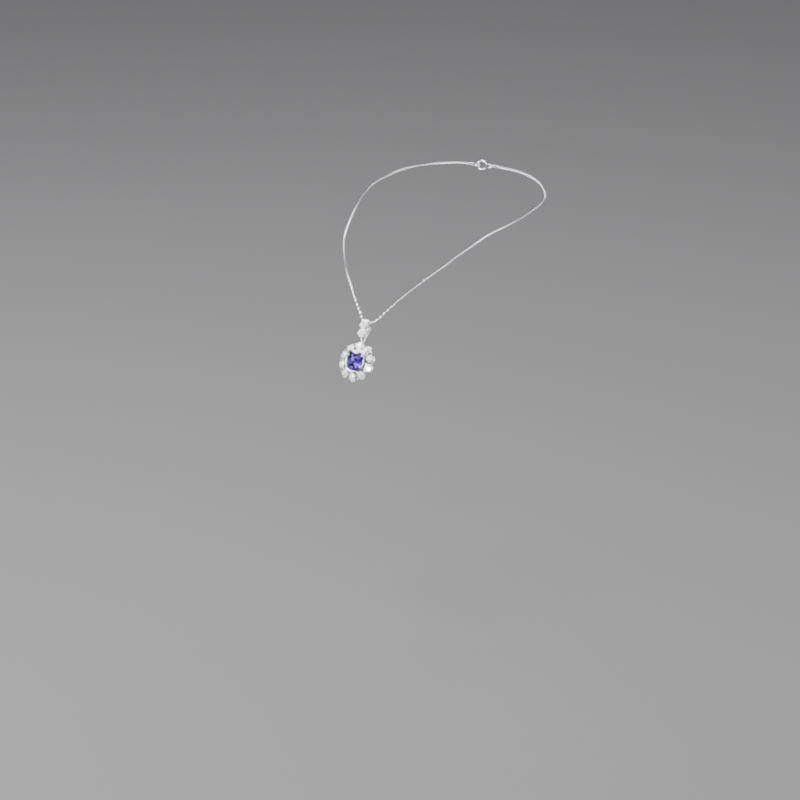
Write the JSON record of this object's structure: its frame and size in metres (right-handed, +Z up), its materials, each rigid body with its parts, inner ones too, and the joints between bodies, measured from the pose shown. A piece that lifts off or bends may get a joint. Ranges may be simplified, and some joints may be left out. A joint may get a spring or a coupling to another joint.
{
  "type": "pendant necklace",
  "caption": "Worn pendant necklace: fine cable chain, spring ring clasp, jewelled bail and a hinged cluster pendant with a violet cushion stone in a clear halo.",
  "frame": {"origin": "middle of the neck at the chain's height, the point that the worn chain goes round", "axes": "+Z up, -Y the way the wearer faces, +X to the wearer's left"},
  "size_m": [0.1022, 0.1682, 0.0818],
  "materials": {
    "chain_metal": "polished white metal, rhodium plated",
    "clasp_metal": "polished white metal, rhodium plated",
    "pendant_metal": "polished white metal, rhodium plated",
    "setting_metal": "polished white metal, rhodium plated, rubbed bright at the claws",
    "clear_stone": "colourless brilliant-cut stone",
    "violet_stone": "violet-blue cushion-cut stone"
  },
  "bodies": {
    "root": {"chain": "chain_metal", "end_link_left": "chain_metal", "end_link_right": "chain_metal"},
    "jump_ring": {"clasp_jump_ring": "clasp_metal"},
    "clasp": {"clasp_body": "clasp_metal", "clasp_eye": "clasp_metal", "clasp_spring": "clasp_metal"},
    "bolt": {"clasp_bolt": "clasp_metal"},
    "tag_ring": {"tag_ring": "clasp_metal"},
    "bail": {"bail_frame": "pendant_metal", "bail_setting_upper": "setting_metal", "bail_setting_lower": "setting_metal", "bail_stone_upper": "clear_stone", "bail_stone_lower": "clear_stone"},
    "connector": {"connector_ring": "pendant_metal"},
    "head": {"head_gallery": "pendant_metal", "head_eyelet": "pendant_metal", "centre_collet": "setting_metal", "centre_stone": "violet_stone", "centre_claw_1": "setting_metal", "centre_claw_2": "setting_metal", "centre_claw_3": "setting_metal", "centre_claw_4": "setting_metal", "halo_setting_01": "setting_metal", "halo_setting_02": "setting_metal", "halo_setting_03": "setting_metal", "halo_setting_04": "setting_metal", "halo_setting_05": "setting_metal", "halo_setting_06": "setting_metal", "halo_setting_07": "setting_metal", "halo_setting_08": "setting_metal", "halo_setting_09": "setting_metal", "halo_setting_10": "setting_metal", "halo_stone_01": "clear_stone", "halo_stone_02": "clear_stone", "halo_stone_03": "clear_stone", "halo_stone_04": "clear_stone", "halo_stone_05": "clear_stone", "halo_stone_06": "clear_stone", "halo_stone_07": "clear_stone", "halo_stone_08": "clear_stone", "halo_stone_09": "clear_stone", "halo_stone_10": "clear_stone"}
  },
  "joints": [
    {"name": "jump_ring_swing", "type": "hinge", "parent": "root", "child": "jump_ring", "pos_m": [0.00582, 0.057, 0.02], "axis": [0, 0, 1], "range_deg": [-4, 4]},
    {"name": "clasp_swing", "type": "hinge", "parent": "jump_ring", "child": "clasp", "pos_m": [0.00327, 0.057, 0.02], "axis": [0, 1, 0], "range_deg": [-10, 10]},
    {"name": "bolt_slide", "type": "hinge", "parent": "clasp", "child": "bolt", "pos_m": [-0.00152, 0.057, 0.02], "axis": [0, -1, 0], "range_deg": [0, 45], "stiffness_Nm_per_rad": 0.0008, "springref_deg": -17.19},
    {"name": "tag_ring_swing", "type": "hinge", "parent": "root", "child": "tag_ring", "pos_m": [-0.00582, 0.057, 0.02], "axis": [0, 0, 1], "range_deg": [-10, 10]},
    {"name": "bail_swing", "type": "hinge", "parent": "root", "child": "bail", "pos_m": [0, -0.0907, -0.0303], "axis": [1, 0, 0], "range_deg": [-60, 45]},
    {"name": "connector_swing", "type": "hinge", "parent": "bail", "child": "connector", "pos_m": [0, -0.09524, -0.03807], "axis": [0, -0.8746, 0.4848], "range_deg": [-30, 30]},
    {"name": "head_swing", "type": "hinge", "parent": "connector", "child": "head", "pos_m": [0, -0.09604, -0.03952], "axis": [1, 0, 0], "range_deg": [-45, 25]}
  ]
}
